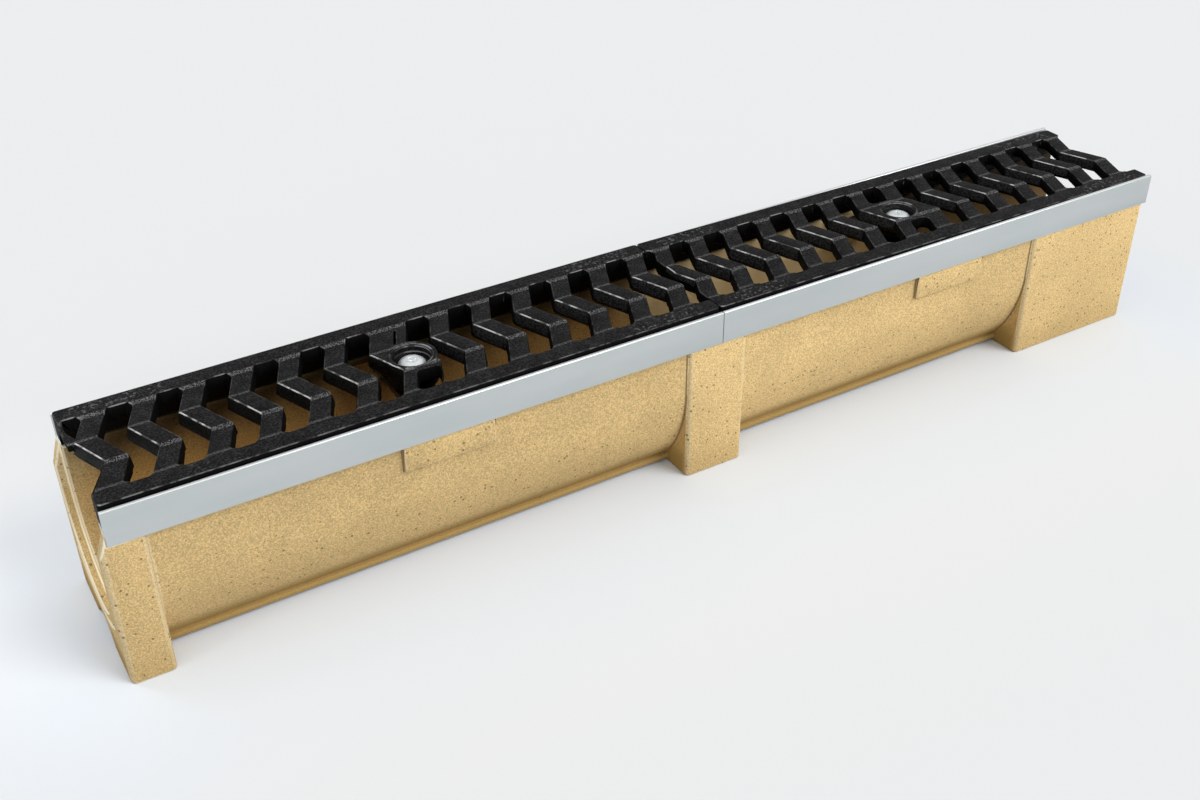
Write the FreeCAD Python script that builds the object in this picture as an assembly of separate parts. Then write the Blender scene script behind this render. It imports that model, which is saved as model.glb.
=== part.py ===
# One metre of linear drainage channel: a cast trough, folded edge rails
# and two bolted zigzag grates. Millimetres, +X along the run, +Z up,
# origin at the middle of the underside.
import FreeCAD, Part
import math
import os

V = FreeCAD.Vector
UP = V(0, 0, 1)

# Overall sizes
RUN_LENGTH = 1000.0
WIDTH = 140.0
HEIGHT = 153.5
RIM_PAST = 7.0
END_SHORT = 2.5

# Trough casting
WALL_INSET = 5.0
WALL = 15.0
WALL_STRAIGHT = 41.0
WALL_DRAFT = 0.03
FLOOR = 39.5
FOOT_DROP = 3.5
PLINTH_INSET = 29.0
PLINTH_STEP = 4.0
PLINTH_HEIGHT = 5.0
RIB_INSET = 1.0
RIB_ROUND = 4.5
LEFT_RIB = 26.5
MIDDLE_RIB = 57.0
MIDDLE_RIB_SHIFT = -3.0
RIM_SLOPE = 20.0
SOCKET_STEP = 8.0
RING_RADIUS = 81.0
RING_FOOT = 27.0
GROOVE_WIDTH = 3.0
GROOVE_DEPTH = 6.0
GROOVE_HALF = 52.0
ARCH_HALF = 24.0
ARCH_HEIGHT = 16.0
SPIGOT_CLEARANCE = 0.6
OUTLET_DIAMETER = 100.0
OUTLET_MARGIN = 22.0
OUTLET_DEPTH = 8.0
POCKET_ROOF = 6.0
POCKET_SIDE_ROOM = 16.0
POCKET_FALL = 14.0
POCKET_SKIN = 6.5
POCKET_SHIFT = 2.0
POCKET_SPREAD = 4.5
PAD_SPACING = 497.0
PAD_SHIFT = 2.0
PAD_INSET = 1.5
PAD_MARGIN = 7.0
PAD_SILL = 5.5

# Edge rails, two to a side
SHEET = 2.0
RAIL_TOP = 3.5
RAIL_FLANGE = 28.5
RAIL_LEDGE = 12.5
RAIL_ROUND = 1.2
RAIL_GAP = 0.6

# Grates
GRATE_DEPTH = 21.0
GRATE_PROUD = 3.0
GRATE_SIDE_GAP = 1.5
GRATE_END_GAP = 0.5
GRATE_CORNER = 3.0
GRATE_MARGIN = 17.0
SLOT_WIDTH = 18.0
SLOT_ROUND = 5.0
LEFT_PITCH = 37.2
LEFT_FIRST_SLOT = 44.9
LEFT_LAST_SLOT = 30.6
RIGHT_PITCH = 36.3
RIGHT_FIRST_SLOT = 33.4
RIGHT_LAST_SLOT = 28.7
ZIGZAG = 13.5
ZIGZAG_HALF = 17.0
BAR_LIFT = 7.0
BELLY_LIFT = 4.0
BAR_FLARE = 1.5
BAR_UNDERCUT = 2.5
LEG_DROP = 1.0
LEG_RAMP = 4.0
BOSS_SHIFT = 6.0
BOSS_WALL = 5.0
SHORT_SLOT_OFFSET = 7.0
SHORT_SLOT_GAP = 3.0
SLIT_WIDTH = 2.0
SLIT_END = 42.0
END_WALL = 3.0
END_WALL_DEPTH = 7.0

# Locking set: bolt, crossbar and nut
BOLT_DIAMETER = 12.0
HEAD_OVERHANG = 5.0
HEAD_HEIGHT = 5.0
HEAD_EDGE = 1.2
HEAD_FLAT = 9.0
HEAD_SUNK = 4.0
SOCKET_FLATS = 6.0
SOCKET_DEPTH = 3.0
BOLT_TAIL = 3.0
BOLT_CHAMFER = 1.2
BOLT_CLEARANCE = 0.5
RECESS_CLEARANCE = 4.0
RECESS_CHAMFER = 1.5
SEAT_CLEARANCE = 1.2
SEAT_CONE = 3.0
CROSSBAR_WIDTH = 30.0
CROSSBAR_THICKNESS = 6.0
CROSSBAR_END_GAP = 3.0
CROSSBAR_CORNER = 6.0
NUT_WALL = 3.0
NUT_HEIGHT = 10.0
THREAD_CLEARANCE = 0.1

# Cutters reach past the faces that they open
PAST = 1.0

# Places along the run
BODY_LEFT = -(RIM_PAST + RUN_LENGTH) / 2
RAIL_LEFT = BODY_LEFT + RIM_PAST
RAIL_LENGTH = RUN_LENGTH / 2
RAIL_JOINT = RAIL_LEFT + RAIL_LENGTH
RAIL_RIGHT = RAIL_JOINT + RAIL_LENGTH
BODY_RIGHT = RAIL_RIGHT - END_SHORT
GRATE_LENGTH = RAIL_LENGTH - 2 * GRATE_END_GAP
GRATE_LEFTS = [RAIL_LEFT + GRATE_END_GAP, RAIL_JOINT + GRATE_END_GAP]
GRATE_MIDDLES = [left + GRATE_LENGTH / 2 for left in GRATE_LEFTS]
BOLT_PLACES = [GRATE_MIDDLES[0] + BOSS_SHIFT, GRATE_MIDDLES[1] - BOSS_SHIFT]
PAD_MIDDLE = RAIL_JOINT + PAD_SHIFT
PAD_PLACES = [PAD_MIDDLE - PAD_SPACING / 2, PAD_MIDDLE + PAD_SPACING / 2]
POCKET_PLACES = [BOLT_PLACES[0] + POCKET_SHIFT - POCKET_SPREAD,
                 BOLT_PLACES[1] + POCKET_SHIFT + POCKET_SPREAD]
RIGHT_RIB = OUTLET_DIAMETER + 2 * OUTLET_MARGIN
POCKET_LENGTH = CROSSBAR_WIDTH + 2 * POCKET_SIDE_ROOM
PAD_LENGTH = POCKET_LENGTH + 2 * PAD_MARGIN

# Distances from the middle of the run
HALF_WIDTH = WIDTH / 2
RIB_HALF = HALF_WIDTH - RIB_INSET
WALL_HALF = HALF_WIDTH - WALL_INSET
BAND_HALF = HALF_WIDTH - SHEET
PLINTH_HALF = HALF_WIDTH - PLINTH_INSET
BORE_RADIUS = WALL_HALF - WALL
PAD_HALF = HALF_WIDTH - PAD_INSET
POCKET_HALF = PAD_HALF - POCKET_SKIN
RAIL_INNER = HALF_WIDTH - RAIL_TOP
GRATE_HALF = RAIL_INNER - GRATE_SIDE_GAP
SLOT_HALF = GRATE_HALF - GRATE_MARGIN
RECESS_RADIUS = BOLT_DIAMETER / 2 + HEAD_OVERHANG + RECESS_CLEARANCE
BOSS_RADIUS = RECESS_RADIUS + BOSS_WALL
SHORT_SLOT_END = BOSS_RADIUS + SHORT_SLOT_GAP

# Levels
FLANGE_LEVEL = HEIGHT - RAIL_FLANGE
WALL_BREAK = FLANGE_LEVEL - WALL_STRAIGHT
BORE_LEVEL = FLOOR + BORE_RADIUS
GRATE_TOP = HEIGHT + GRATE_PROUD
SEAT_LEVEL = GRATE_TOP - GRATE_DEPTH
BAR_LEVEL = SEAT_LEVEL + BAR_LIFT
BELLY_LEVEL = BAR_LEVEL + BELLY_LIFT
HEAD_TOP = GRATE_TOP - HEAD_SUNK
RECESS_FLOOR = HEAD_TOP - HEAD_HEIGHT
BODY_TOP = SEAT_LEVEL - SHEET
RIM_LEVEL = BODY_TOP - RIM_SLOPE
CROSSBAR_TOP = BODY_TOP - POCKET_ROOF
CROSSBAR_LEVEL = CROSSBAR_TOP - CROSSBAR_THICKNESS
NUT_LEVEL = CROSSBAR_LEVEL - NUT_HEIGHT
POCKET_LEVEL = CROSSBAR_LEVEL - POCKET_FALL
PAD_LEVEL = POCKET_LEVEL - PAD_SILL


def path(*points):
    """Straight edges from each point to the next."""
    return [Part.LineSegment(start, end).toShape() for start, end in zip(points, points[1:])]


def tangent_arc(start, end, along):
    """Arc that leaves start in the direction along and turns to end."""
    chord = end - start
    aside = chord - along * chord.dot(along)
    radius = chord.Length ** 2 / (2 * aside.Length)
    half_turn = math.asin(chord.dot(along) / radius) / 2
    bulge = along * math.sin(half_turn) + aside.normalize() * (1 - math.cos(half_turn))
    return Part.Arc(start, start + bulge * radius, end).toShape()


def rounded(points, radii):
    """Closed wire through the points, each corner rounded by its own radius."""
    corners = []
    for i, point in enumerate(points):
        before = (points[i - 1] - point).normalize()
        after = (points[(i + 1) % len(points)] - point).normalize()
        half = before.getAngle(after) / 2
        reach = radii[i] / math.tan(half)
        tip = point + (before + after).normalize() * (radii[i] / math.sin(half) - radii[i])
        corners.append((point + before * reach, tip, point + after * reach))
    edges = []
    for i, (start, tip, end) in enumerate(corners):
        if radii[i] > 0:
            edges.append(Part.Arc(start, tip, end).toShape())
        edges += path(end, corners[(i + 1) % len(corners)][0])
    return Part.Wire(edges)


def prism(wire, direction):
    return Part.Face(wire).extrude(direction)


def polygon(points):
    return Part.makePolygon(points + points[:1])


def plate(x0, x1, half, z0, z1, corner):
    """Flat slab across the run with rounded corners."""
    points = [V(x0, -half, z0), V(x1, -half, z0), V(x1, half, z0), V(x0, half, z0)]
    return prism(rounded(points, [corner] * len(points)), UP * (z1 - z0))


def block(x0, x1, half, z0, z1):
    """Box across the run, as wide as half on each side of the middle."""
    return Part.makeBox(x1 - x0, 2 * half, z1 - z0, V(x0, -half, z0))


def cylinder(radius, x, z0, z1):
    return Part.makeCylinder(radius, z1 - z0, V(x, 0, z0))


def hexagon(flats, x, z0, z1):
    corner = flats / math.sqrt(3)
    angles = [math.radians(60 * i) for i in range(6)]
    points = [V(x + corner * math.cos(angle), corner * math.sin(angle), z0) for angle in angles]
    return prism(polygon(points), UP * (z1 - z0))


# Trough

def hull_wire(x):
    """Outside of the trough between its ribs: plinth, curved belly, wall and top band."""
    foot = V(x, PLINTH_HALF - PLINTH_STEP, FOOT_DROP + PLINTH_HEIGHT)
    shoulder = V(x, WALL_HALF, WALL_BREAK)
    lean = BAND_HALF - WALL_HALF
    half = path(V(x, PLINTH_HALF, FOOT_DROP), V(x, PLINTH_HALF, FOOT_DROP + PLINTH_HEIGHT), foot)
    half.append(tangent_arc(shoulder, foot, -UP))
    half += path(shoulder, V(x, WALL_HALF, FLANGE_LEVEL - lean), V(x, BAND_HALF, FLANGE_LEVEL),
                 V(x, BAND_HALF, BODY_TOP))
    mirrored = [edge.mirror(V(0, 0, 0), V(0, 1, 0)) for edge in half]
    sole = path(V(x, -PLINTH_HALF, FOOT_DROP), V(x, PLINTH_HALF, FOOT_DROP))
    crest = path(V(x, -BAND_HALF, BODY_TOP), V(x, BAND_HALF, BODY_TOP))
    return Part.Wire(Part.__sortEdges__(half + mirrored + sole + crest))


def mouth(x0, x1, grow, top):
    """Prism of the waterway's U, grown outwards by grow, from x0 to x1."""
    half = BORE_RADIUS + grow
    half_top = half + WALL_DRAFT * (top - BORE_LEVEL)
    front = V(x0, -half, BORE_LEVEL)
    back = V(x0, half, BORE_LEVEL)
    sides = path(back, V(x0, half_top, top), V(x0, -half_top, top), front)
    bottom = Part.Arc(front, V(x0, 0, BORE_LEVEL - half), back).toShape()
    return prism(Part.Wire(sides + [bottom]), V(x1 - x0, 0, 0))


def soften(solid):
    """Round the edges of a rib that rise from the ground."""
    def upright(edge):
        box = edge.BoundBox
        return box.ZMin < PAST and box.XLength < PAST and box.YLength < PAST
    return solid.makeFillet(RIB_ROUND, [edge for edge in solid.Edges if upright(edge)])


def left_rib():
    """Foot at the socket end, with the rim's sloping top beside the rail's end."""
    right = RAIL_LEFT + LEFT_RIB
    side = [(BODY_LEFT, 0), (right, 0), (right, FLANGE_LEVEL), (RAIL_LEFT, FLANGE_LEVEL),
            (RAIL_LEFT, BODY_TOP), (BODY_LEFT, RIM_LEVEL)]
    points = [V(x, -RIB_HALF, z) for x, z in side]
    return soften(prism(polygon(points), V(0, 2 * RIB_HALF, 0)))


def ring_groove():
    """Cutter of the round groove that parts the socket's ring from the end legs."""
    start = BODY_LEFT - PAST
    level = RING_FOOT + RING_RADIUS
    rings = [Part.makeCylinder(radius, PAST + GROOVE_DEPTH, V(start, 0, level), V(1, 0, 0))
             for radius in (RING_RADIUS + GROOVE_WIDTH, RING_RADIUS)]
    return rings[0].cut(rings[1]).common(block(start, BODY_LEFT + GROOVE_DEPTH, GROOVE_HALF, 0, level))


def leg_arch():
    """Cutter of the low arch between the two end legs."""
    x = BODY_LEFT - PAST
    front = V(x, -ARCH_HALF, 0)
    back = V(x, ARCH_HALF, 0)
    below = path(back, back - UP * PAST, front - UP * PAST, front)
    crown = Part.Arc(front, V(x, 0, ARCH_HEIGHT), back).toShape()
    return prism(Part.Wire(below + [crown]), V(PAST + RIM_PAST + LEFT_RIB, 0, 0))


def rib(x0, x1):
    return soften(block(x0, x1, RIB_HALF, 0, FLANGE_LEVEL))


def lock_block(x, length, half, bottom, top):
    """Box centred on a place along the wall: a pad, or the pocket inside it."""
    return block(x - length / 2, x + length / 2, half, bottom, top)


def channel_body():
    """The casting: a U trough with three ribs, a socket and a spigot, pads and pockets."""
    hull = prism(hull_wire(RAIL_LEFT), V(BODY_RIGHT - RAIL_LEFT, 0, 0))
    middle = RAIL_JOINT + MIDDLE_RIB_SHIFT
    ribs = [left_rib(), rib(middle - MIDDLE_RIB / 2, middle + MIDDLE_RIB / 2),
            rib(BODY_RIGHT - RIGHT_RIB, BODY_RIGHT)]
    pads = [lock_block(x, PAD_LENGTH, PAD_HALF, PAD_LEVEL, FLANGE_LEVEL) for x in PAD_PLACES]
    spigot_end = RAIL_RIGHT - SPIGOT_CLEARANCE
    spigot = mouth(BODY_RIGHT, spigot_end, SOCKET_STEP - SPIGOT_CLEARANCE, RIM_LEVEL)
    outside = hull.multiFuse(ribs + pads + [spigot])
    waterway = mouth(BODY_LEFT - PAST, spigot_end + PAST, 0, HEIGHT)
    socket = mouth(BODY_LEFT - PAST, RAIL_LEFT, SOCKET_STEP, HEIGHT)
    outlet = cylinder(OUTLET_DIAMETER / 2, BODY_RIGHT - RIGHT_RIB / 2, -PAST, OUTLET_DEPTH)
    pockets = [lock_block(x, POCKET_LENGTH, POCKET_HALF, POCKET_LEVEL, CROSSBAR_TOP)
               for x in POCKET_PLACES]
    openings = [waterway, socket, outlet, ring_groove(), leg_arch()]
    return outside.cut(openings + pockets).removeSplitter()


# Edge rails

def edge_rail(side, x0, x1):
    """Folded strip: outer flange, hemmed top and the ledge that carries the grates."""
    ledge = RAIL_INNER - RAIL_LEDGE
    crown = [(HALF_WIDTH, HEIGHT), (RAIL_INNER, HEIGHT)]
    below = [(RAIL_INNER, SEAT_LEVEL), (ledge, SEAT_LEVEL), (ledge, BODY_TOP), (BAND_HALF, BODY_TOP),
             (BAND_HALF, FLANGE_LEVEL), (HALF_WIDTH, FLANGE_LEVEL)]
    points = [V(x0, side * y, z) for y, z in crown + below]
    radii = [min(RAIL_ROUND, RAIL_TOP / 3)] * len(crown) + [0] * len(below)
    return prism(rounded(points, radii), V(x1 - x0, 0, 0))


# Grates

def leg_shift(y):
    """How far the zigzag has moved along the run at y, against its back end."""
    outer = ZIGZAG / (SLOT_HALF - ZIGZAG_HALF)
    if y > ZIGZAG_HALF:
        return outer * (y - SLOT_HALF)
    if y > -ZIGZAG_HALF:
        return -ZIGZAG * (y + ZIGZAG_HALF) / (2 * ZIGZAG_HALF)
    return outer * (y + ZIGZAG_HALF)


def slot_wire(x0, x1, z, grow, stops):
    """Plan outline of a zigzag slot at level z, through the stops from front to back."""
    levels = [stops[0] - grow] + stops[1:-1] + [stops[-1] + grow]
    right = [V(x1 + leg_shift(y) + grow, y, z) for y in levels]
    left = [V(x0 + leg_shift(y) - grow, y, z) for y in reversed(levels)]
    end = min(SLOT_ROUND, SLOT_WIDTH / 3, (stops[-1] - stops[0]) / 3)
    radii = [end] + [0] * (len(levels) - 2) + [end]
    return rounded(right + left, radii * 2)


def cutter(x0, x1, stops):
    """Slot from x0 to x1 at its back end: it narrows to the bars' belly and opens again below."""
    sections = [(GRATE_TOP, BAR_FLARE), (BELLY_LEVEL, 0), (BAR_LEVEL, BAR_UNDERCUT)]
    return Part.makeLoft([slot_wire(x0, x1, z, grow, stops) for z, grow in sections], True, True)


def slot(x, stops):
    return cutter(x - SLOT_WIDTH / 2, x + SLOT_WIDTH / 2, stops)


def slot_run(start, step, boss):
    """Back ends of the slots from start on, as far as the boss leaves room."""
    room = abs(boss - start) - BOSS_RADIUS
    return [start + step * i for i in range(int(room / abs(step)) + 1)]


def full_slots(fore, aft, pitch, boss):
    """Two runs of slots counted from the grate's ends, and the notch that each end cuts in the pattern."""
    stops = [-SLOT_HALF, -ZIGZAG_HALF, ZIGZAG_HALF, SLOT_HALF]
    places = slot_run(fore, pitch, boss) + slot_run(aft, -pitch, boss)
    left_notch = fore - pitch + SLOT_WIDTH / 2
    right_notch = aft + pitch - SLOT_WIDTH / 2
    notches = [cutter(left_notch - pitch, left_notch, stops),
               cutter(right_notch, right_notch + pitch, stops)]
    return [slot(x, stops) for x in places] + notches


def front_window(boss):
    return slot(boss + SHORT_SLOT_OFFSET, [-SLOT_HALF, -SHORT_SLOT_END])


def back_window(boss):
    return slot(boss + SHORT_SLOT_OFFSET, [SHORT_SLOT_END, SLOT_HALF])


def back_slit(boss):
    """Narrow slit in the broad leg behind a boss that has no room for a window."""
    ends = [(boss + SHORT_SLOT_OFFSET + leg_shift(y), y) for y in (SHORT_SLOT_END, SLIT_END)]
    sides = [V(x + SLIT_WIDTH / 2, y, BAR_LEVEL - PAST) for x, y in ends]
    sides += [V(x - SLIT_WIDTH / 2, y, BAR_LEVEL - PAST) for x, y in reversed(ends)]
    return prism(polygon(sides), UP * (GRATE_TOP - BAR_LEVEL + 2 * PAST))


def end_webs(left, knee):
    """Thin wall that closes the back half slot at a grate's left end, and the web that broadens
    the first bar from its front knee to the corner."""
    outer = SLOT_HALF + BAR_UNDERCUT
    bend = (outer + ZIGZAG_HALF) / 2
    wall = [(left, outer), (left + END_WALL, outer), (left + END_WALL, bend),
            (left + 3 * END_WALL, ZIGZAG_HALF), (left, ZIGZAG_HALF)]
    web = [(left, -outer), (left + 2 * END_WALL, -outer), (knee + END_WALL, -ZIGZAG_HALF),
           (knee, -ZIGZAG_HALF)]
    top = GRATE_TOP - LEG_DROP
    webs = []
    for plan, bottom in ((wall, GRATE_TOP - END_WALL_DEPTH), (web, BAR_LEVEL)):
        webs.append(prism(polygon([V(x, y, bottom) for x, y in plan]), UP * (top - bottom)))
    return webs


def lowered_legs(left):
    """Shallow troughs that drop the outer legs below the plateau and the side rails."""
    inner = ZIGZAG_HALF - LEG_RAMP / 2
    outer = SLOT_HALF + LEG_RAMP / 2 - BAR_FLARE
    profile = [(inner, GRATE_TOP), (inner + LEG_RAMP, GRATE_TOP - LEG_DROP),
               (outer - LEG_RAMP, GRATE_TOP - LEG_DROP), (outer, GRATE_TOP)]
    troughs = []
    for side in (-1, 1):
        points = [V(left - PAST, side * y, z) for y, z in profile]
        troughs.append(prism(polygon(points), V(GRATE_LENGTH + 2 * PAST, 0, 0)))
    return troughs


def bolt_seat(x):
    """Cutters of the boss: the well with its coned floor and chamfered rim, and the bolt hole."""
    floor_radius = BOLT_DIAMETER / 2 + HEAD_OVERHANG + SEAT_CLEARANCE
    floor = Part.makeCone(floor_radius, RECESS_RADIUS, SEAT_CONE, V(x, 0, RECESS_FLOOR))
    well = cylinder(RECESS_RADIUS, x, RECESS_FLOOR + SEAT_CONE, GRATE_TOP + PAST)
    rim_foot = V(x, 0, GRATE_TOP - RECESS_CHAMFER)
    rim = Part.makeCone(RECESS_RADIUS, RECESS_RADIUS + RECESS_CHAMFER, RECESS_CHAMFER, rim_foot)
    hole = cylinder(BOLT_DIAMETER / 2 + BOLT_CLEARANCE, x, SEAT_LEVEL - PAST, GRATE_TOP)
    return [floor, well, rim, hole]


def grate(left, boss, slots):
    """One cast grate: deep side rails, zigzag bars and a recessed boss for the bolt."""
    right = left + GRATE_LENGTH
    blank = plate(left, right, GRATE_HALF, SEAT_LEVEL, GRATE_TOP, GRATE_CORNER)
    underside = block(left - PAST, right + PAST, SLOT_HALF + BAR_UNDERCUT, SEAT_LEVEL - PAST, BAR_LEVEL)
    bars = blank.cut([underside] + lowered_legs(left) + slots)
    casting = bars.fuse(cylinder(BOSS_RADIUS, boss, SEAT_LEVEL, GRATE_TOP))
    return casting.cut(bolt_seat(boss)).removeSplitter()


def left_grate(left, boss):
    right = left + GRATE_LENGTH
    slots = full_slots(left + LEFT_FIRST_SLOT, right - LEFT_LAST_SLOT, LEFT_PITCH, boss)
    casting = grate(left, boss, slots + [front_window(boss), back_slit(boss)])
    knee = left + LEFT_FIRST_SLOT - LEFT_PITCH + SLOT_WIDTH / 2
    return casting.multiFuse(end_webs(left, knee)).removeSplitter()


def right_grate(left, boss):
    right = left + GRATE_LENGTH
    slots = full_slots(left + RIGHT_FIRST_SLOT, right - RIGHT_LAST_SLOT, RIGHT_PITCH, boss)
    return grate(left, boss, slots + [front_window(boss), back_window(boss)])


# Locking set

def locking_bar(x):
    """Flat crossbar whose ends lie in the wall pockets."""
    half = CROSSBAR_WIDTH / 2
    reach = POCKET_HALF - CROSSBAR_END_GAP
    bar = plate(x - half, x + half, reach, CROSSBAR_LEVEL, CROSSBAR_TOP, CROSSBAR_CORNER)
    hole = cylinder(BOLT_DIAMETER / 2 + BOLT_CLEARANCE, x, CROSSBAR_LEVEL - PAST, CROSSBAR_TOP + PAST)
    return bar.cut(hole)


def lock_bolt(x):
    """Low domed bolt with a hexagon socket, turned about its own axis."""
    shank = BOLT_DIAMETER / 2
    head = shank + HEAD_OVERHANG
    tail = NUT_LEVEL - BOLT_TAIL
    crown = V(x + HEAD_FLAT / 2, 0, HEAD_TOP)
    shoulder = V(x + head, 0, RECESS_FLOOR + HEAD_EDGE)
    outline = path(crown, V(x, 0, HEAD_TOP), V(x, 0, tail), V(x + shank - BOLT_CHAMFER, 0, tail),
                   V(x + shank, 0, tail + BOLT_CHAMFER), V(x + shank, 0, RECESS_FLOOR),
                   V(x + head, 0, RECESS_FLOOR), shoulder)
    dome = tangent_arc(crown, shoulder, V(1, 0, 0))
    turned = Part.Face(Part.Wire(outline + [dome])).revolve(V(x, 0, 0), UP, 360)
    return turned.cut(hexagon(SOCKET_FLATS, x, HEAD_TOP - SOCKET_DEPTH, HEAD_TOP + PAST))


def lock_nut(x):
    """Hexagon nut under the crossbar, its corners turned off top and bottom."""
    flats = BOLT_DIAMETER + 2 * NUT_WALL
    half_height = NUT_HEIGHT / 2
    wide = flats / 2 + half_height * math.sqrt(3)
    lower = Part.makeCone(flats / 2, wide, half_height, V(x, 0, NUT_LEVEL))
    upper = Part.makeCone(wide, flats / 2, half_height, V(x, 0, NUT_LEVEL + half_height))
    turned = hexagon(flats, x, NUT_LEVEL, CROSSBAR_LEVEL).common(lower.fuse(upper))
    thread = cylinder(BOLT_DIAMETER / 2 + THREAD_CLEARANCE, x, NUT_LEVEL - PAST, CROSSBAR_LEVEL + PAST)
    return turned.cut(thread)


# Assembly

pieces = {"channel_body": channel_body()}
for side_name, side in (("front", -1), ("back", 1)):
    pieces[f"edge_rail_{side_name}_left"] = edge_rail(side, RAIL_LEFT, RAIL_JOINT - RAIL_GAP / 2)
    pieces[f"edge_rail_{side_name}_right"] = edge_rail(side, RAIL_JOINT + RAIL_GAP / 2, RAIL_RIGHT)
pieces["grate_left"] = left_grate(GRATE_LEFTS[0], BOLT_PLACES[0])
pieces["grate_right"] = right_grate(GRATE_LEFTS[1], BOLT_PLACES[1])
for end_name, place in zip(("left", "right"), BOLT_PLACES):
    pieces[f"locking_bar_{end_name}"] = locking_bar(place)
    pieces[f"lock_bolt_{end_name}"] = lock_bolt(place)
    pieces[f"lock_nut_{end_name}"] = lock_nut(place)

os.makedirs("parts", exist_ok=True)
for name, shape in pieces.items():
    shape.exportStep(f"parts/{name}.step")
    box = shape.optimalBoundingBox(False)
    print(f"{name}: {len(shape.Solids)} solid, valid {shape.isValid()}, {shape.Volume / 1000:.1f} cm3, "
          f"x {box.XMin:.1f} to {box.XMax:.1f}, y {box.YMin:.1f} to {box.YMax:.1f}, "
          f"z {box.ZMin:.1f} to {box.ZMax:.1f}")
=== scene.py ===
# %% [markdown]
# A metre of drainage channel
#
# The object is a length of linear drainage channel: a trough cast from sand and resin,
# galvanised rails folded over its edges, and two black iron grates that are bolted down.
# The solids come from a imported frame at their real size, in metres. This lesson dresses
# them: each casting gets its rounded edges, each metal its own finish, and the whole stands
# on a pale studio floor.

# %% Load the frame
import math
import random

import bpy
from mathutils import Matrix, Vector, kdtree


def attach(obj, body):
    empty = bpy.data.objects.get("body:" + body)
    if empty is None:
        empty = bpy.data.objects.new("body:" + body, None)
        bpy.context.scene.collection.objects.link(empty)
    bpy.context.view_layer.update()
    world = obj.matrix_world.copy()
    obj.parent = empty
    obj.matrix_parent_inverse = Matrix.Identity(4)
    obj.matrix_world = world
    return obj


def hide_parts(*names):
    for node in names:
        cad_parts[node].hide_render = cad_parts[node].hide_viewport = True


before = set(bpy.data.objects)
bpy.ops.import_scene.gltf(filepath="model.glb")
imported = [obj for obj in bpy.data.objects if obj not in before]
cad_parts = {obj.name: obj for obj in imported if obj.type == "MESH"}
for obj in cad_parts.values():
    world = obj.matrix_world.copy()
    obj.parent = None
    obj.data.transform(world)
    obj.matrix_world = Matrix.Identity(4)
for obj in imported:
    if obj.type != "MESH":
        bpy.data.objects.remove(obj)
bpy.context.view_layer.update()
MM = 0.001

# %% [markdown]
# Working on a casting
#
# A solid arrives as loose triangles, and every edge of it is perfectly sharp. Real castings
# have no such edges: the mould's own corners are soft, and so is what comes out of them. A
# copy is welded, its flat faces are dissolved back to single polygons, and a bevel rounds
# the edges above a given level that turn by more than a given angle. The copy then stands in
# for the solid.
#
# A clamped bevel turns narrow all over a piece as soon as one of its edges is very short. The
# clamp is therefore off, and the corners that the bevel then throws too far are brought back
# to a neighbour. The faces of the bevel are remembered in an attribute called rounding, so
# that a finish can differ along the edges and nowhere else.

# %% Copy a solid, weld it and round its edges
WELD = 0.05 * MM
FLAT_WITHIN = math.radians(0.5)
SMOOTH_BELOW = math.radians(35)
POINT_SPACING = 0.5 * MM
WIDTHS_ALLOWED = 1.6
BELOW_EVERYTHING = -1.0
BEVEL_SLOT = 1
BEVEL_MATERIALS = [bpy.data.materials.new(name) for name in ("flat face", "bevel face")]


def only(piece):
    """Selects one piece and makes it active."""
    bpy.ops.object.select_all(action="DESELECT")
    piece.select_set(True)
    bpy.context.view_layer.objects.active = piece


def edit_edges(piece):
    """Opens edit mode for edges, with none of them selected."""
    only(piece)
    bpy.ops.object.mode_set(mode="EDIT")
    bpy.context.tool_settings.mesh_select_mode = (False, True, False)
    bpy.ops.mesh.select_all(action="DESELECT")


def casting_copy(name, node):
    """A welded copy of a solid, with one polygon for each flat face."""
    piece = bpy.data.objects.new(name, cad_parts[node].data.copy())
    bpy.context.scene.collection.objects.link(piece)
    piece.data.materials.clear()
    only(piece)
    bpy.ops.object.mode_set(mode="EDIT")
    bpy.ops.mesh.select_all(action="SELECT")
    bpy.ops.mesh.remove_doubles(threshold=WELD)
    bpy.ops.mesh.dissolve_limited(angle_limit=FLAT_WITHIN)
    bpy.ops.object.mode_set(mode="OBJECT")
    return piece


def remember_rounding(piece):
    """Keeps the bevel's faces, which carry the second material, as a face attribute."""
    rounding = piece.data.attributes.new("rounding", "FLOAT", "FACE")
    for face in piece.data.polygons:
        rounding.data[face.index].value = face.material_index
        face.material_index = 0
    piece.data.materials.clear()


def weigh_edges(piece, sharper_than, above):
    """Gives the sharp edges above a level the weight that the bevel looks for."""
    edit_edges(piece)
    bpy.ops.mesh.edges_select_sharp(sharpness=math.radians(sharper_than))
    bpy.ops.object.mode_set(mode="OBJECT")
    points = piece.data.vertices
    for edge in piece.data.edges:
        edge.select = edge.select and min(points[i].co.z for i in edge.vertices) > above
    bpy.ops.object.mode_set(mode="EDIT")
    bpy.ops.transform.edge_bevelweight(value=1.0)
    bpy.ops.object.mode_set(mode="OBJECT")


def edge_points(piece):
    """Points along every edge, from which distances are measured."""
    points = []
    for edge in piece.data.edges:
        start, end = (piece.data.vertices[i].co.copy() for i in edge.vertices)
        count = max(1, int((end - start).length / POINT_SPACING))
        points += [start.lerp(end, k / count) for k in range(count + 1)]
    tree = kdtree.KDTree(len(points))
    for index, point in enumerate(points):
        tree.insert(point, index)
    tree.balance()
    return tree


def own_box(piece):
    """Lowest and highest corner of a piece."""
    spots = [point.co for point in piece.data.vertices]
    return [[limit(spot[k] for spot in spots) for k in range(3)] for limit in (min, max)]


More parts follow.
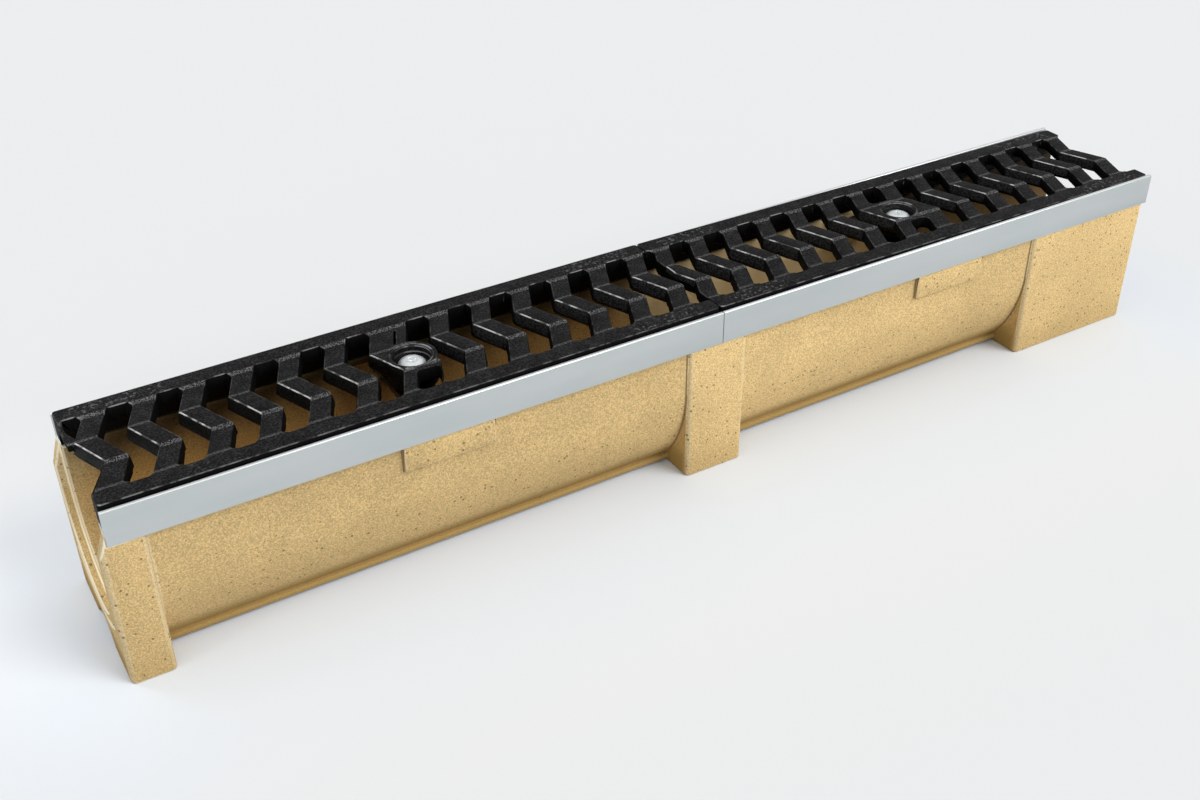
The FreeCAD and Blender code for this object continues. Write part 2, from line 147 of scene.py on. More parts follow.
def thrown_corners(piece, edges, reach, box):
    """Corners out of the box or too far from every edge, each with the places of sound neighbours."""
    points = piece.data.vertices
    thrown = {}
    for point in points:
        outside = any(not box[0][k] <= point.co[k] <= box[1][k] for k in range(3))
        if outside or edges.find(point.co)[2] > reach:
            thrown[point.index] = []
    for edge in piece.data.edges:
        first, second = edge.vertices
        for corner, other in ((first, second), (second, first)):
            if corner in thrown and other not in thrown:
                thrown[corner].append(points[other].co.copy())
    return thrown


def pull_back(piece, edges, reach, box):
    """Brings each thrown corner to its nearest sound neighbour, or else to the nearest edge."""
    thrown = thrown_corners(piece, edges, reach, box)
    for index, neighbours in thrown.items():
        point = piece.data.vertices[index]
        place = point.co.copy()
        spots = neighbours or [edges.find(place)[0]]
        point.co = min(spots, key=lambda spot: (spot - place).length)
    print(piece.name, len(thrown), "corners pulled back")


def round_edges(piece, width, segments, sharper_than, above=BELOW_EVERYTHING):
    """Bevels the edges above a level that turn by more than an angle, and smooths the shading."""
    weigh_edges(piece, sharper_than, above)
    edges = edge_points(piece)
    box = own_box(piece)
    for material in BEVEL_MATERIALS:
        piece.data.materials.append(material)
    bevel = piece.modifiers.new("rounded edges", "BEVEL")
    bevel.width = width
    bevel.segments = segments
    bevel.limit_method = "WEIGHT"
    bevel.use_clamp_overlap = False
    bevel.material = BEVEL_SLOT
    bpy.ops.object.modifier_apply(modifier=bevel.name)
    pull_back(piece, edges, WIDTHS_ALLOWED * width, box)
    bpy.ops.object.shade_smooth_by_angle(angle=SMOOTH_BELOW)
    remember_rounding(piece)
    print(piece.name, len(piece.data.polygons), "faces")


def stand_in(piece, node):
    """Puts a finished piece in the place of its solid."""
    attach(piece, "root")
    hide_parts(node)


# %% [markdown]
# The trough
#
# The trough is cast from sand bound with resin. Its edges come out of the mould with a small
# radius, which shows as a bright line beside each rib and pad. The radius could be drawn on
# the solid, edge by edge, but one bevel of the whole casting gives that line everywhere.

# %% Trough
trough = casting_copy("trough", "channel_body")
round_edges(trough, width=1.3 * MM, segments=2, sharper_than=40)
stand_in(trough, "channel_body")

# %% [markdown]
# The edge rails
#
# Each rail is a folded strip of galvanised steel. The fold's own radius is in the solid, so
# only the cut edges need breaking, by a fraction of a millimetre.

# %% Edge rails
rails = []
for place in ("front_left", "front_right", "back_left", "back_right"):
    rail = casting_copy(f"rail_{place}", f"edge_rail_{place}")
    round_edges(rail, width=0.25 * MM, segments=2, sharper_than=40)
    stand_in(rail, f"edge_rail_{place}")
    rails.append(rail)

# %% [markdown]
# The grates
#
# The grates are sand castings in black iron. The sharp edges of their upper side are rounded
# first. The two halves of the mould meet at the bars' widest line, and a thin ragged flash is
# left there: the edges on that line are cut into short lengths, and each point is pushed a
# little out of place. A bump in the shader could roughen the line too, but then the
# silhouette would stay straight.
#
# Castings differ. In the photograph the right one's top runs from just above the rails down
# to just below them, so that one is drawn thinner towards its far end. Every point above the
# seat is brought down in proportion to its height and to its distance along the run.

# %% Grates
UPPER_EDGES = 149 * MM
FLASH_LEVEL = 146.5 * MM
LEVEL_SLACK = 0.05 * MM
FLASH_REACH = 0.5 * MM
FLASH_CUTS = 7
FLASH_SEED = 5
SEAT_LEVEL = 135.5 * MM
THICKNESS = 21 * MM
RIGHT_START = 4 * MM
RIGHT_END = 503 * MM
RIGHT_DROP = 4 * MM


def on_flash(point):
    return abs(point.co.z - FLASH_LEVEL) < LEVEL_SLACK


def ragged_flash(piece):
    """Cuts the edges on the mould's parting level and pushes their points out of place."""
    edit_edges(piece)
    bpy.ops.object.mode_set(mode="OBJECT")
    points = piece.data.vertices
    for edge in piece.data.edges:
        edge.select = all(on_flash(points[i]) for i in edge.vertices)
    bpy.ops.object.mode_set(mode="EDIT")
    bpy.ops.mesh.subdivide(number_cuts=FLASH_CUTS)
    bpy.ops.object.mode_set(mode="OBJECT")
    flash = [point for point in piece.data.vertices if on_flash(point)]
    for point in flash:
        point.co += Vector(random.uniform(-FLASH_REACH, FLASH_REACH) for axis in range(3))
    print(piece.name, len(flash), "points of flash")


def thin_out(piece):
    """Lowers what stands on the seat, by nothing at the joint and by the drop at the right end."""
    for point in piece.data.vertices:
        share = min(max((point.co.x - RIGHT_START) / (RIGHT_END - RIGHT_START), 0.0), 1.0)
        height = max(point.co.z - SEAT_LEVEL, 0.0)
        point.co.z -= RIGHT_DROP * share * height / THICKNESS


random.seed(FLASH_SEED)
grates = []
for end in ("left", "right"):
    grate = casting_copy(f"iron_grate_{end}", f"grate_{end}")
    round_edges(grate, width=0.75 * MM, segments=2, sharper_than=42, above=UPPER_EDGES)
    ragged_flash(grate)
    if end == "right":
        thin_out(grate)
    stand_in(grate, f"grate_{end}")
    grates.append(grate)

# %% [markdown]
# The locking sets
#
# A bolt, a crossbar and a nut hold each grate. They are turned and punched parts, with edges
# broken by a few tenths of a millimetre. The right bolt's head sinks with its casting.

# %% Bolts, crossbars and nuts
fasteners = []
for end in ("left", "right"):
    for name, node in (("bolt", "lock_bolt"), ("crossbar", "locking_bar"), ("nut", "lock_nut")):
        fastener = casting_copy(f"{name}_{end}", f"{node}_{end}")
        round_edges(fastener, width=0.3 * MM, segments=2, sharper_than=40)
        if end == "right":
            thin_out(fastener)
        stand_in(fastener, f"{node}_{end}")
        fasteners.append(fastener)

# %% [markdown]
# Building blocks for the finishes
#
# Each finish is a small tree of shader nodes. These helpers add a node, feed a socket with
# either a number or another socket, and give the sums that every finish needs: a product, the
# distance over two lengths, a mix of two colours, a soft step from one value to another and a
# ridge between two values.

# %% Node helpers
MIX_SHARE, MIX_FIRST, MIX_SECOND = 0, 6, 7
MIX_RESULT = 2


def feed(tree, value, socket):
    """Links a socket to another one, or sets it to a plain value."""
    if isinstance(value, bpy.types.NodeSocket):
        tree.links.new(value, socket)
    else:
        socket.default_value = value


def maths(tree, operation, first, second=0.0):
    node = tree.nodes.new("ShaderNodeMath")
    node.operation = operation
    feed(tree, first, node.inputs[0])
    feed(tree, second, node.inputs[1])
    return node.outputs[0]


def product(tree, result, *others):
    """All the values multiplied together."""
    for value in others:
        result = maths(tree, "MULTIPLY", result, value)
    return result


def distance(tree, first, second):
    """Length of the diagonal over two lengths."""
    squares = [maths(tree, "POWER", length, 2.0) for length in (first, second)]
    return maths(tree, "SQRT", maths(tree, "ADD", *squares))


def step(tree, value, low, high, bottom=0.0, top=1.0):
    """Soft step: bottom below low, top above high."""
    node = tree.nodes.new("ShaderNodeMapRange")
    node.interpolation_type = "SMOOTHSTEP"
    feed(tree, value, node.inputs["Value"])
    for name, number in (("From Min", low), ("From Max", high), ("To Min", bottom), ("To Max", top)):
        feed(tree, number, node.inputs[name])
    return node.outputs["Result"]


def ridge(tree, value, low, high, soft):
    """One between low and high, falling to nothing outside."""
    rise = step(tree, value, low - soft, low)
    return product(tree, rise, step(tree, value, high, high + soft, bottom=1.0, top=0.0))


def mixed(tree, share, first, second, way="MIX"):
    """Mix of two colours, each a tuple or a socket."""
    node = tree.nodes.new("ShaderNodeMix")
    node.data_type = "RGBA"
    node.blend_type = way
    feed(tree, share, node.inputs[MIX_SHARE])
    feed(tree, first, node.inputs[MIX_FIRST])
    feed(tree, second, node.inputs[MIX_SECOND])
    return node.outputs[MIX_RESULT]


def tinted(tree, colour, tint):
    """A colour multiplied by another one or by a level."""
    return mixed(tree, 1.0, colour, tint, "MULTIPLY")


def new_finish(name):
    """New material with its tree and its shader."""
    material = bpy.data.materials.new(name)
    material.use_nodes = True
    return material, material.node_tree, material.node_tree.nodes["Principled BSDF"]


def parts_of(tree, kind):
    """X, Y and Z of the object's own coordinates, or of the direction that a face looks in."""
    node = tree.nodes.new("ShaderNodeSeparateXYZ")
    feed(tree, tree.nodes.new("ShaderNodeTexCoord").outputs[kind], node.inputs[0])
    return node.outputs


def rounded_edges(tree):
    """The faces that the bevel made."""
    node = tree.nodes.new("ShaderNodeAttribute")
    node.attribute_name = "rounding"
    return node.outputs["Fac"]


def roughen(tree, shader, height, strength, reach):
    """Bump from a height, into the shader's normal."""
    bump = tree.nodes.new("ShaderNodeBump")
    feed(tree, strength, bump.inputs["Strength"])
    feed(tree, reach, bump.inputs["Distance"])
    feed(tree, height, bump.inputs["Height"])
    feed(tree, bump.outputs["Normal"], shader.inputs["Normal"])


def grey(level):
    return (level, level, level, 1)


def dress(pieces, material):
    """Gives pieces their finish."""
    for piece in pieces:
        piece.data.materials.append(material)
    print(material.name, len(material.node_tree.nodes), "nodes, pieces dressed:", len(pieces))


# %% [markdown]
# Cloud and specks
#
# Two effects come back in several places. Cloud is a soft noise on the object's own
# coordinates, so it stays in place whatever the piece's shape. Specks are the middles of
# scattered cells, of which only a share is kept, as grains are scattered in sand. Each is a
# node group with its own sockets, so that one change mends it everywhere.

# %% Shared groups
NOISE_SPAN = (0.28, 0.72)
SPECK_SIZES = (0.5, 1.2)
SPECK_CORE = 0.6


def new_group(name, inputs, output):
    """Empty node group with its sockets."""
    group = bpy.data.node_groups.new(name, "ShaderNodeTree")
    for label, start in inputs.items():
        socket = group.interface.new_socket(label, in_out="INPUT", socket_type="NodeSocketFloat")
        socket.default_value = start
    group.interface.new_socket(output, in_out="OUTPUT", socket_type="NodeSocketFloat")
    entry = group.nodes.new("NodeGroupInput")
    leaving = group.nodes.new("NodeGroupOutput")
    return group, entry.outputs, leaving.inputs[0]


def cloud_group():
    """Soft noise between nothing and one, drawn out along the run where Along is below one."""
    group, given, result = new_group("cloud", {"Scale": 100, "Detail": 2, "Along": 1}, "Tone")
    place = group.nodes.new("ShaderNodeTexCoord").outputs["Object"]
    stretch = group.nodes.new("ShaderNodeCombineXYZ")
    for axis, length in (("X", given["Along"]), ("Y", 1.0), ("Z", 1.0)):
        feed(group, length, stretch.inputs[axis])
    longer = group.nodes.new("ShaderNodeVectorMath")
    longer.operation = "MULTIPLY"
    feed(group, place, longer.inputs[0])
    feed(group, stretch.outputs[0], longer.inputs[1])
    noise = group.nodes.new("ShaderNodeTexNoise")
    feed(group, longer.outputs[0], noise.inputs["Vector"])
    feed(group, given["Scale"], noise.inputs["Scale"])
    feed(group, given["Detail"], noise.inputs["Detail"])
    feed(group, step(group, noise.outputs["Fac"], *NOISE_SPAN), result)
    return group


def speck_group():
    """Round specks of differing size in a share of the cells."""
    group, given, result = new_group("specks", {"Scale": 100, "Radius": 0.2, "Share": 0.5}, "Mask")
    cells = group.nodes.new("ShaderNodeTexVoronoi")
    feed(group, group.nodes.new("ShaderNodeTexCoord").outputs["Object"], cells.inputs["Vector"])
    feed(group, given["Scale"], cells.inputs["Scale"])
    chance = group.nodes.new("ShaderNodeSeparateColor")
    feed(group, cells.outputs["Color"], chance.inputs[0])
    size = step(group, chance.outputs["Green"], 0, 1, *SPECK_SIZES)
    radius = product(group, given["Radius"], size)
    core = product(group, radius, SPECK_CORE)
    dot = step(group, cells.outputs["Distance"], core, radius, bottom=1.0, top=0.0)
    kept = maths(group, "LESS_THAN", chance.outputs["Red"], given["Share"])
    feed(group, product(group, dot, kept), result)
    return group


CLOUD = cloud_group()
SPECKS = speck_group()


def placed(tree, group, **values):
    """One of the shared groups in a finish, with its own values."""
    node = tree.nodes.new("ShaderNodeGroup")
    node.node_tree = group
    for name, value in values.items():
        feed(tree, value, node.inputs[name])
    return node.outputs[0]


# %% [markdown]
# Sand and resin
#
# The trough is the colour of the sand in it. Close up it is a mix of tan grains, pale quartz
# and many dark specks about two millimetres across, over a faint cloudiness. A painted
# highlight makes its rounded edges cream, fully so at the left end and faintly beyond, and
# faintly on slanted faces. An image could show the grains too, but specks worked out from the
# place stay sharp at any distance.
#
# Part of the light and shade is painted in, because the lamps alone don't give it. Painted
# light makes the sand paler along the run. The foot, the left flanks of the ribs and the corners
# beside them are darker with painted shade. So is the inside under the grates and, still more,
# its far end, while a stretch past their joint carries painted light. The inside is told from
# the outside by its distance from the waterway's axis.

# %% Colours and places of the sand-and-resin finish
SAND = (0.83, 0.60, 0.278, 1)
QUARTZ = (0.90, 0.75, 0.46, 1)
QUARTZ_STRENGTH = 0.4
# Painted highlight: the cream on the rounded edges and slanted faces.
CREAM_HIGHLIGHT = (1.0, 0.91, 0.67, 1)
SMALL_SPECK = (0.27, 0.165, 0.06, 1)
DARK_SPECK = (0.13, 0.07, 0.025, 1)
FLANK_SHADE = (0.72, 0.64, 0.46, 1)
CREASE_SHADE = (0.24, 0.14, 0.045, 1)
FOOT_SHADE = (0.37, 0.235, 0.07, 1)
# Painted light: the sand is made paler along the run.
PAINTED_LIGHT_ALONG = (-500 * MM, 200 * MM)
LEFT_END = (-485 * MM, -475 * MM)
PAST_LEFT_END = (-455 * MM, -435 * MM)
PAST_FIRST_RIB = (-400 * MM, -300 * MM)
FOOT_HEIGHT = (9.5 * MM, 30 * MM)
FOOT_SIDE = (60 * MM, 66 * MM)
RIB_FACE = (67 * MM, 68 * MM)
LOOKS_LEFT = (-0.95, -0.75)
TURNS_LEFT = (-0.3, -0.15)
SLANTED = (0.25, 0.95)
SLANT_SOFT = 0.05
SLANT_STRENGTH = 0.25


# %% Sand-and-resin finish, outside
def sand_and_quartz(tree, place, grain):
    """Tan sand with pale quartz, and painted light that makes it paler along the run."""
    batch = step(tree, placed(tree, CLOUD, Scale=18, Detail=3), 0, 1, bottom=0.95, top=1.04)
    # Painted light, paler along the run.
    along = step(tree, place["X"], *PAINTED_LIGHT_ALONG, bottom=0.88, top=1.1)
    mottle = step(tree, placed(tree, CLOUD, Scale=780, Detail=2), 0, 1, bottom=0.77, top=1.14)
    level = product(tree, batch, along, mottle, step(tree, grain, 0, 1, bottom=0.86, top=1.1))
    quartz = placed(tree, SPECKS, Scale=230, Radius=0.18, Share=0.5)
    return mixed(tree, product(tree, quartz, QUARTZ_STRENGTH), tinted(tree, SAND, level), QUARTZ)


def foot_of_trough(tree, place, aside):
    """One at the foot, fading upwards, and faint farther out from the middle."""
    low = step(tree, place["Z"], *FOOT_HEIGHT, bottom=1.0, top=0.0)
    return product(tree, low, step(tree, aside, *FOOT_SIDE, bottom=1.0, top=0.15))


def left_flanks(tree, place, facing):
    """One on the faces that look left, away from the left end itself."""
    flank = step(tree, facing["X"], *LOOKS_LEFT, bottom=1.0, top=0.0)
    return product(tree, flank, step(tree, place["X"], *PAST_FIRST_RIB))


def painted_edge_highlight(tree, place, facing, foot):
    """Painted highlight: one on the left end's rounded edges, less on the others and on slanted
    faces.
    """
    skin = product(tree, rounded_edges(tree), step(tree, place["X"], *LEFT_END, bottom=1.0, top=0.3))
    slanted = ridge(tree, maths(tree, "ABSOLUTE", facing["X"]), *SLANTED, SLANT_SOFT)
    skin = maths(tree, "MAXIMUM", skin, product(tree, slanted, SLANT_STRENGTH))
    return product(tree, skin, maths(tree, "SUBTRACT", 1.0, foot))


def left_creases(tree, place, facing, aside):
    """Rounded edges that turn left and lie deeper than the ribs' outer faces."""
    turned = step(tree, facing["X"], *TURNS_LEFT, bottom=0.8, top=0.0)
    deep = step(tree, aside, *RIB_FACE, bottom=1.0, top=0.0)
    return product(tree, rounded_edges(tree), turned, deep, step(tree, place["X"], *PAST_LEFT_END))


# %% Sand-and-resin finish, inside
# Painted shade inside the trough, darkest high up, and painted light on a stretch past the joint.
LEFT_INSIDE = (0.74, 0.6, 0.4, 1)
MIDDLE_INSIDE = (0.62, 0.5, 0.34, 1)
UPPER_INSIDE = (0.1, 0.08, 0.05, 1)
LIT_INSIDE = (0.97, 0.81, 0.48, 1)
LIT_STRENGTH = 0.7
WATERWAY_AXIS = 89.5 * MM
WATERWAY_RADIUS = (53.5 * MM, 55.5 * MM)
LEFT_MOUTH = (-500 * MM, -460 * MM)
TOWARDS_MIDDLE = (-420 * MM, -100 * MM)
LIGHTER_STRETCH = (50 * MM, 200 * MM)
STRETCH_SOFT = 90 * MM
UPPER_WALLS = (80 * MM, 128 * MM)
FAR_END = (230 * MM, 310 * MM)


def inside_of_trough(tree, place):
    """One on the waterway's own surface, fading out at the open left end."""
    below = maths(tree, "MINIMUM", maths(tree, "SUBTRACT", place["Z"], WATERWAY_AXIS), 0.0)
    inside = step(tree, distance(tree, below, place["Y"]), *WATERWAY_RADIUS, bottom=1.0, top=0.0)
    return product(tree, inside, step(tree, place["X"], *LEFT_MOUTH, bottom=0.35, top=1.0))


def shade_of_inside(tree, place, colour):
    """Painted shade over the inside, deepest on the upper walls and at the far end, and painted light
    on a stretch past the joint.
    """
    depth = mixed(tree, step(tree, place["X"], *TOWARDS_MIDDLE), LEFT_INSIDE, MIDDLE_INSIDE)
    lighter = ridge(tree, place["X"], *LIGHTER_STRETCH, STRETCH_SOFT)
    upper = product(tree, step(tree, place["Z"], *UPPER_WALLS), maths(tree, "SUBTRACT", 1.0, lighter))
    inner = tinted(tree, colour, mixed(tree, upper, depth, UPPER_INSIDE))
    inner = mixed(tree, product(tree, lighter, LIT_STRENGTH), inner, LIT_INSIDE)
    return tinted(tree, inner, step(tree, place["X"], *FAR_END, bottom=1.0, top=0.3))


# %% Sand-and-resin finish, put together
def sand_and_resin():
    material, tree, shader = new_finish("sand and resin")
    place = parts_of(tree, "Object")
    facing = parts_of(tree, "Normal")
    aside = maths(tree, "ABSOLUTE", place["Y"])
    grain = placed(tree, CLOUD, Scale=1500, Detail=2)
    small = placed(tree, SPECKS, Scale=300, Radius=0.2, Share=0.75)
    dark = placed(tree, SPECKS, Scale=165, Radius=0.19, Share=0.85)
    foot = foot_of_trough(tree, place, aside)
    colour = sand_and_quartz(tree, place, grain)
    flank = left_flanks(tree, place, facing)
    colour = mixed(tree, flank, colour, tinted(tree, colour, FLANK_SHADE))
    # Painted highlight in cream on the rounded edges and slanted faces.
    colour = mixed(tree, painted_edge_highlight(tree, place, facing, foot), colour, CREAM_HIGHLIGHT)
    colour = mixed(tree, left_creases(tree, place, facing, aside), colour, CREASE_SHADE)
    layers = ((small, 0.5, SMALL_SPECK), (dark, 0.75, DARK_SPECK), (foot, 0.8, FOOT_SHADE))
    for mask, strength, layer in layers:
        colour = mixed(tree, product(tree, mask, strength), colour, layer)
    inner = shade_of_inside(tree, place, colour)
    colour = mixed(tree, inside_of_trough(tree, place), colour, inner)
    feed(tree, colour, shader.inputs["Base Color"])
    feed(tree, 0.85, shader.inputs["Roughness"])
    feed(tree, 0.25, shader.inputs["Specular IOR Level"])
    roughen(tree, shader, maths(tree, "SUBTRACT", grain, dark), strength=0.25, reach=0.3 * MM)
    return material


dress([trough], sand_and_resin())

# %% [markdown]
# Galvanised sheet
#
# Zinc is a pale blue-grey with faint clouds, which are drawn out along the strip. The faces
# that look up carry a painted highlight, which makes them brighter than the flange.

# %% Galvanised finish
ZINC_DARK = (0.555, 0.605, 0.615, 1)
ZINC_PALE = (0.625, 0.665, 0.675, 1)
ZINC_BLOOM = (0.64, 0.665, 0.67, 1)
# Painted highlight on the faces that look up.
ZINC_TOP_HIGHLIGHT = (0.93, 0.95, 0.96, 1)
BLOOM_STRENGTH = 0.5
LOOKS_UP = (0.3, 0.9)


def galvanised_sheet():
    material, tree, shader = new_finish("galvanised sheet")
    streak = placed(tree, CLOUD, Scale=60, Detail=3, Along=0.12)
    bloom = placed(tree, CLOUD, Scale=22, Detail=2, Along=0.6)
    colour = mixed(tree, streak, ZINC_DARK, ZINC_PALE)
    colour = mixed(tree, product(tree, bloom, BLOOM_STRENGTH), colour, ZINC_BLOOM)
    # Painted highlight: faces that look up are painted near white.
    top = step(tree, parts_of(tree, "Normal")["Z"], *LOOKS_UP)
    feed(tree, mixed(tree, top, colour, ZINC_TOP_HIGHLIGHT), shader.inputs["Base Color"])
    feed(tree, 0.8, shader.inputs["Metallic"])
    feed(tree, step(tree, streak, 0, 1, bottom=0.4, top=0.52), shader.inputs["Roughness"])
    return material


dress(rails, galvanised_sheet())

# %% [markdown]
# Black iron
#
# The grates are black, and the sand of the mould has left every face grainy. The outer legs of
# the bars are painted a little greyer than their middles, as painted light. The rounded edges
# along the middle of the bars shine in broken lines, mostly where they turn left and less around
# the bolts. Pale speckled bands lie on the bends of the bars. The walls of the slots are painted
# all but black as painted shade, apart from a painted sheen on their upper slopes, and the back
# ends of the slots have a fainter line. Towards the ends of each grate the side rails carry rough
# scars of the mould. A lamp could draw such lines by reflection, but only from one side. They are
# painted highlights on the rounded edges where the photograph shows them, so they are seen
# from everywhere.

# %% Colours and places of the black iron finish
# The outer legs' grey over the middle's black is painted light; the near black of the slot walls is
# painted shade.
SIDE_BLACK = 0.0125
BAR_BLACK = 0.0095
SLOT_BLACK = 0.002
BEND_GREY = 0.18
SCAR_GREY = 0.1
EDGE_GREY = 0.62
JOINT = 3.5 * MM
BOLT_FROM_JOINT = 244 * MM
BOSS = (16 * MM, 19 * MM)
PLATEAU = (15.5 * MM, 17.5 * MM)
INNER_BEND = (15.5 * MM, 18.5 * MM)
OUTER_BEND = (45 * MM, 48 * MM)
BEND_SOFT = 1 * MM
RIM = (62.5 * MM, 64 * MM)
SLOT_BACK = (42 * MM, 44 * MM)
TOP_LEVEL = (UPPER_EDGES, 151 * MM)
# Where the painted sheen on the upper slopes grows along the run.
SLOPE_SHEEN_FROM = (-260 * MM, -160 * MM)
FLAT_TOP = (0.6, 0.9)
SLOPE = (0.06, 0.5)
SLOPE_SOFT = 0.04


def from_joint(tree, place):
    """Distance along the run from the joint of the two grates."""
    return maths(tree, "ABSOLUTE", maths(tree, "SUBTRACT", place["X"], JOINT))


# %% Mould scars
SCARS_BY_JOINT = (20 * MM, 75 * MM)
SCARS_BY_ENDS = (425 * MM, 485 * MM)
SCAR_SOFT = 8 * MM
SCAR_STRIP = (52 * MM, 62 * MM)
STRIP_SOFT = 2 * MM
CLEAN_CORNER = (-500 * MM, -460 * MM)


def mould_scars(tree, place, aside):
    """Ragged flecks on the side rails, near the ends of both grates but the front left corner."""
    along = from_joint(tree, place)
    inner = ridge(tree, along, *SCARS_BY_JOINT, SCAR_SOFT)
    outer = ridge(tree, along, *SCARS_BY_ENDS, SCAR_SOFT)
    corner = step(tree, maths(tree, "ADD", place["X"], place["Y"]), *CLEAN_CORNER)
    ends = maths(tree, "MAXIMUM", inner, product(tree, outer, corner))
    strip = ridge(tree, aside, *SCAR_STRIP, STRIP_SOFT)
    flecks = step(tree, placed(tree, CLOUD, Scale=300, Detail=5), 0.68, 0.9)
    return product(tree, ends, strip, flecks)


# %% Black iron finish
def iron_skin(tree, place, facing, plateau, cloud, grit):
    """Grainy black on top with outer legs a little greyer as painted light, slot walls near black as
    painted shade, and a painted sheen on their upper slopes that grows along the run.
    """
    clouded = step(tree, cloud, 0, 1, bottom=0.75, top=1.25)
    grain = product(tree, clouded, step(tree, grit, 0.2, 1, bottom=0.5, top=2.4))
    skin = tinted(tree, mixed(tree, plateau, grey(SIDE_BLACK), grey(BAR_BLACK)), grain)
    # Painted sheen on the upper slopes of the middle legs' walls, growing along the run.
    painted_slope_sheen = step(tree, place["X"], *SLOPE_SHEEN_FROM, bottom=0.008, top=0.026)
    painted_slope_sheen = product(tree, painted_slope_sheen, step(tree, grit, 0.2, 0.9, bottom=0.4, top=1.6))
    slope = ridge(tree, facing["Z"], *SLOPE, SLOPE_SOFT)
    walls = mixed(tree, product(tree, slope, plateau), grey(SLOT_BLACK), painted_slope_sheen)
    return mixed(tree, step(tree, facing["Z"], *FLAT_TOP), walls, skin)


def speckled_bends(tree, aside):
    """Dotted bands along the two bends of the bars."""
    bends = [ridge(tree, aside, *bend, BEND_SOFT) for bend in (INNER_BEND, OUTER_BEND)]
    dots = step(tree, placed(tree, CLOUD, Scale=1200, Detail=1), 0.35, 0.9, bottom=0.0, top=0.9)
    return product(tree, maths(tree, "ADD", *bends), dots)


def bright_edges(tree, place, facing, aside, plateau, cloud):
    """Broken bright lines on the upper rounded edges."""
    broken = step(tree, cloud, 0.25, 0.8, bottom=0.1, top=1.0)
    upper = product(tree, rounded_edges(tree), broken, step(tree, place["Z"], *TOP_LEVEL))
    rim = step(tree, aside, *RIM, bottom=0.1, top=0.5)
    left_turned = step(tree, facing["X"], -0.2, 0.1, bottom=1.0, top=0.15)
    bars = product(tree, upper, maths(tree, "MAXIMUM", plateau, rim), left_turned)
    front_turned = step(tree, facing["Y"], -0.5, -0.2, bottom=0.35, top=0.0)
    slot_ends = product(tree, upper, step(tree, place["Y"], *SLOT_BACK), front_turned)
    from_bolt = maths(tree, "SUBTRACT", from_joint(tree, place), BOLT_FROM_JOINT)
    around_bolt = step(tree, distance(tree, from_bolt, place["Y"]), *BOSS, bottom=0.35, top=1.0)
    upwards = step(tree, facing["Z"], 0.1, 0.4)
    return product(tree, maths(tree, "MAXIMUM", bars, slot_ends), around_bolt, upwards)


def black_iron():
    material, tree, shader = new_finish("black iron")
    place = parts_of(tree, "Object")
    facing = parts_of(tree, "Normal")
    aside = maths(tree, "ABSOLUTE", place["Y"])
    plateau = step(tree, aside, *PLATEAU, bottom=1.0, top=0.0)
    top = step(tree, facing["Z"], *FLAT_TOP)
    cloud = placed(tree, CLOUD, Scale=90, Detail=4)
    grit = placed(tree, CLOUD, Scale=650, Detail=4)
    colour = iron_skin(tree, place, facing, plateau, cloud, grit)
    colour = mixed(tree, product(tree, speckled_bends(tree, aside), top), colour, grey(BEND_GREY))
    colour = mixed(tree, product(tree, mould_scars(tree, place, aside), top), colour, grey(SCAR_GREY))
    bright = bright_edges(tree, place, facing, aside, plateau, cloud)
    feed(tree, mixed(tree, bright, colour, grey(EDGE_GREY)), shader.inputs["Base Color"])
    feed(tree, step(tree, plateau, 0, 1, bottom=0.62, top=0.5), shader.inputs["Roughness"])
    feed(tree, 0.08, shader.inputs["Specular IOR Level"])
    roughen(tree, shader, grit, strength=0.45, reach=0.4 * MM)
    return material


dress(grates, black_iron())

# %% [markdown]
# Zinc-plated steel
#
# The bolts, crossbars and nuts are zinc over steel, with a faint cloud in their sheen. No
# bright bar shows below the grates in the photograph, so what lies below them is painted near
# black, as painted shade.

# %% Zinc-plated finish
PLATE_DARK = (0.78, 0.82, 0.83, 1)
PLATE_PALE = (0.9, 0.93, 0.94, 1)
# Painted shade: near black for the plating below the grates.
PLATE_SHADE_BELOW_GRATE = (0.05, 0.04, 0.028, 1)
BELOW_GRATE = (136 * MM, 142 * MM)


def zinc_plate():
    material, tree, shader = new_finish("zinc plate")
    cloud = placed(tree, CLOUD, Scale=260, Detail=3)
    colour = mixed(tree, cloud, PLATE_DARK, PLATE_PALE)
    # Painted shade: below the grates the plating is painted near black.
    shade_below_grate = step(tree, parts_of(tree, "Object")["Z"], *BELOW_GRATE, bottom=1.0, top=0.0)
    feed(tree, mixed(tree, shade_below_grate, colour, PLATE_SHADE_BELOW_GRATE), shader.inputs["Base Color"])
    feed(tree, 0.5, shader.inputs["Metallic"])
    feed(tree, step(tree, cloud, 0, 1, bottom=0.2, top=0.32), shader.inputs["Roughness"])
    return material


dress(fasteners, zinc_plate())

# %% [markdown]
# Camera
#
# The camera stands in front of the channel's left end, above it, and looks along the run.
# Its place, turn and lens follow the photograph's perspective.

